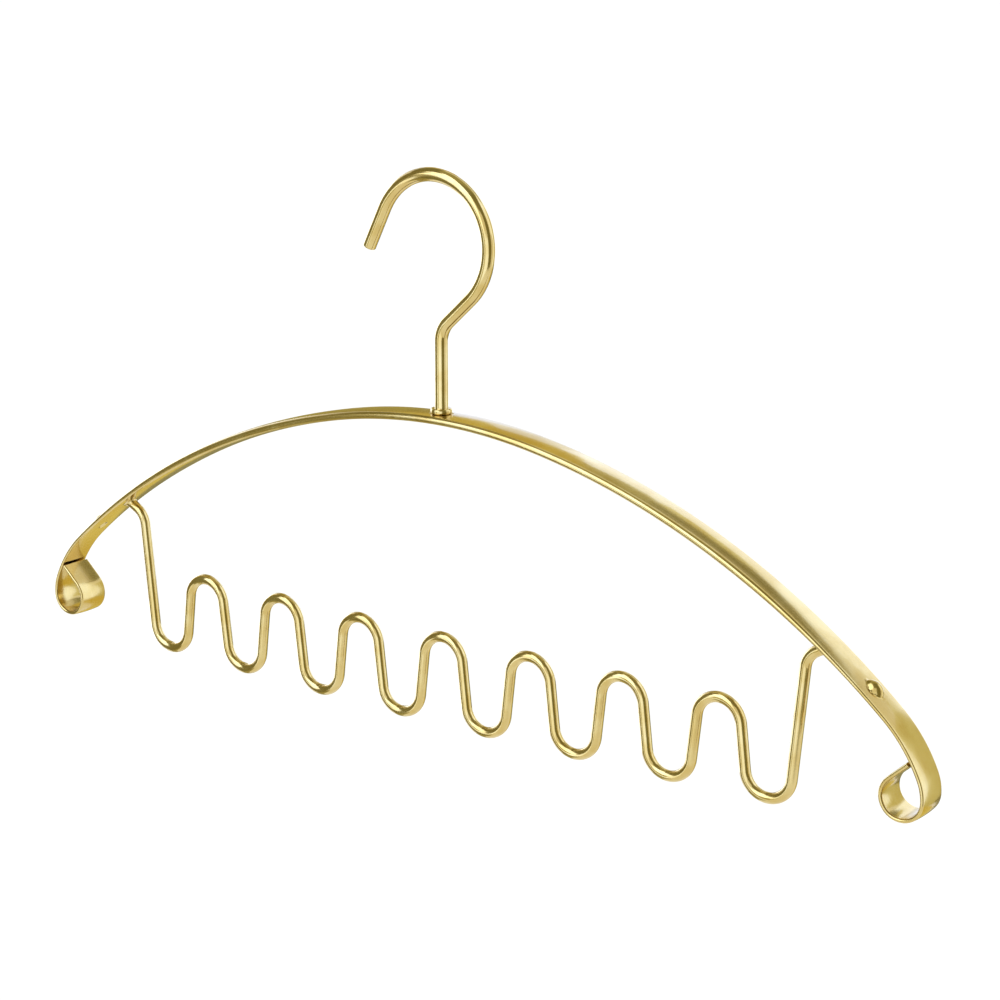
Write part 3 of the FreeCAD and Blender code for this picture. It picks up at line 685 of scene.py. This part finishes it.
# Cards as seen from the hanger, each in front of those before it: azimuth, elevation, width and
# height in degrees, level where the white surround is 1, and colour. Softboxes draw the light lines
# on the metal, dark and grey cards the olive ones, and gold reflectors the deep yellow ones.
CARDS = {
    "grey_ceiling": (0, 85, 65, 60, 0.5, WARM_SHADE),
    "grey_card_back_right": (150, -10, 25, 75, 0.8, WARM_SHADE),
    "softbox_front_high": (-20, 35, 50, 70, 3.0, DAYLIGHT),
    "softbox_left": (-105, -5, 60, 45, 3.0, DAYLIGHT),
    "softbox_back_right": (120, 35, 40, 45, 2.0, DAYLIGHT),
    "softbox_right_strip": (130, 5, 20, 60, 2.0, DAYLIGHT),
    "softbox_back": (185, 10, 40, 55, 2.0, DAYLIGHT),
    "softbox_back_left": (-150, 0, 20, 30, 1.5, DAYLIGHT),
    "softbox_front_low": (15, -10, 45, 30, 2.0, DAYLIGHT),
    "grey_card_back_peak": (185, 35, 12, 6, 0.9, WARM_SHADE),
    "dark_card_back_high": (190, 43, 40, 10, 0.3, WARM_SHADE),
    "dark_card_back_high_right": (165, 39, 20, 8, 0.3, WARM_SHADE),
    "grey_card_back_left_high": (-155, 40, 20, 12, 0.6, WARM_SHADE),
    "gold_reflector_back_left_high": (-150, 37, 12, 20, 0.7, GOLD_PAPER),
    "gold_reflector_back_left": (-138, 30, 15, 25, 0.7, GOLD_PAPER),
    "gold_reflector_left_low": (-135, 0, 15, 45, 0.4, GOLD_PAPER),
    "gold_reflector_back_low": (-175, -45, 85, 20, 0.8, GOLD_PAPER),
    "dark_card_back_low": (-165, -25, 65, 20, 0.3, WARM_SHADE),
    "dark_card_above_right": (50, 55, 55, 45, 0.3, WARM_SHADE),
    "dark_card_left_high": (-90, 50, 60, 30, 0.3, WARM_SHADE),
    "dark_card_left": (-65, 10, 40, 50, 0.3, WARM_SHADE),
    "dark_card_right": (65, 5, 45, 65, 0.3, WARM_SHADE),
    "dark_card_left_low": (-55, -20, 35, 60, 0.3, WARM_SHADE),
    "grey_card_front_low": (-25, -10, 15, 30, 0.6, WARM_SHADE),
    "softbox_front_strip": (-33, -10, 8, 45, 2.5, DAYLIGHT),
    "grey_card_low_left": (-85, -55, 70, 12, 0.5, WARM_SHADE),
}


def card_material(name, level, colour):
    """A lit or dark studio card."""
    material, tree = new_material(name)
    light = add_node(
        tree, "ShaderNodeEmission", {"Color": linear(colour), "Strength": level},
    ).outputs["Emission"]
    add_node(tree, "ShaderNodeOutputMaterial", {"Surface": light})
    return material


def flat_sheet(name, half_width, half_height, material):
    """A flat four-cornered sheet round its own origin, in metres, as part of the studio."""
    mesh = bpy.data.meshes.new(name)
    mesh.from_pydata(
        [(-half_width, -half_height, 0), (half_width, -half_height, 0),
         (half_width, half_height, 0), (-half_width, half_height, 0)],
        [],
        [(0, 1, 2, 3)],
    )
    mesh.materials.append(material)
    sheet = bpy.data.objects.new(name, mesh)
    bpy.context.scene.collection.objects.link(sheet)
    return sheet


def studio_card(name, distance, azimuth, elevation, width, height, level, colour):
    """A card that faces the hanger and shows in reflections only; its width and height are seen angles."""
    towards = direction(azimuth, elevation)
    half_width = distance * MM * math.tan(math.radians(width / 2))
    half_height = distance * MM * math.tan(math.radians(height / 2))
    card = flat_sheet(name, half_width, half_height, card_material(name, level, colour))
    card.rotation_euler = towards.to_track_quat("Z", "Y").to_euler()
    card.location = STUDIO_CENTRE + towards * (distance * MM)
    card.visible_camera = False
    card.visible_shadow = False
    card.visible_diffuse = False


def floor_paper():
    """Matt white paper, with a faint glow that brings it to white for the camera and in reflections."""
    material, tree = new_material("white_paper_floor")
    ray = add_node(tree, "ShaderNodeLightPath").outputs
    seen = add_node(
        tree, "ShaderNodeMath", {0: ray["Is Camera Ray"], 1: ray["Is Glossy Ray"]}, operation="MAXIMUM",
    ).outputs["Value"]
    seen = add_node(
        tree, "ShaderNodeMath", {0: seen, 1: ray["Is Transmission Ray"]}, operation="MAXIMUM",
    ).outputs["Value"]
    glow = add_node(
        tree, "ShaderNodeMath", {0: seen, 1: FLOOR_GLOW}, operation="MULTIPLY",
    ).outputs["Value"]
    paper = add_node(
        tree, "ShaderNodeBsdfPrincipled",
        {
            "Base Color": linear(PAPER_WHITE),
            "Roughness": FLOOR_ROUGHNESS,
            "Emission Color": linear(WHITE),
            "Emission Strength": glow,
        },
    ).outputs["BSDF"]
    add_node(tree, "ShaderNodeOutputMaterial", {"Surface": paper})
    return material


def make_floor():
    """A wide floor, as far below the saddle as a closet rail hangs."""
    half = FLOOR_SIZE / 2 * MM
    floor = flat_sheet("floor", half, half, floor_paper())
    floor.location = (0.0, 0.0, -RAIL_HEIGHT * MM)


def make_world():
    """White all round, at the level where a colour renders as it is written."""
    world = bpy.data.worlds.new("white_studio")
    world.use_nodes = True
    tree = world.node_tree
    tree.nodes.clear()
    light = add_node(
        tree, "ShaderNodeBackground", {"Color": linear(WHITE), "Strength": 1.0},
    ).outputs["Background"]
    add_node(tree, "ShaderNodeOutputWorld", {"Surface": light})
    bpy.context.scene.world = world


def make_studio():
    """White surround, floor and cards."""
    make_world()
    make_floor()
    for number, (name, card) in enumerate(CARDS.items()):
        studio_card(name, FAR_CARD - number * CARD_SPACING, *card)


# Camera

# Millimetres and degrees, with the lens for a sensor 36 mm wide.
CAMERA_AIM = Vector((26.0, 0.0, -110.05)) * MM
CAMERA_AZIMUTH = 36.82
CAMERA_ELEVATION = 14.30
CAMERA_DISTANCE = 857.4
CAMERA_LENS = 87.3


def make_camera():
    """A camera to the right of the front and a little above, close enough to narrow the far end."""
    camera = bpy.data.objects.new("camera", bpy.data.cameras.new("camera"))
    bpy.context.scene.collection.objects.link(camera)
    towards = direction(CAMERA_AZIMUTH, CAMERA_ELEVATION)
    camera.location = CAMERA_AIM + towards * (CAMERA_DISTANCE * MM)
    camera.rotation_euler = towards.to_track_quat("Z", "Y").to_euler()
    camera.data.lens = CAMERA_LENS
    bpy.context.scene.camera = camera


# Assembly

PIECES = (
    ("shoulder_bar", make_shoulder_bar(), "bar", "satin_gold_bar"),
    ("wave_wire", make_wave_wire(), "bar", "bright_gold_wire"),
    ("weld_left", make_weld("weld_left_fillet", -1), "bar", "bright_gold_wire"),
    ("weld_right", make_weld("weld_right_fillet", 1), "bar", "bright_gold_wire"),
    ("hook", make_hook(), "hook", "bright_gold_wire"),
    ("hook_collar", make_hook_collar(), "hook", "bright_gold_wire"),
)
FINISHES = {"satin_gold_bar": satin_gold_bar(), "bright_gold_wire": bright_gold_wire()}
for node_name, piece, body, finish in PIECES:
    piece.data.materials.clear()
    piece.data.materials.append(FINISHES[finish])
    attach(piece, body)
    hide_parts(node_name)

make_studio()
make_camera()
bpy.context.scene.view_settings.view_transform = "Standard"
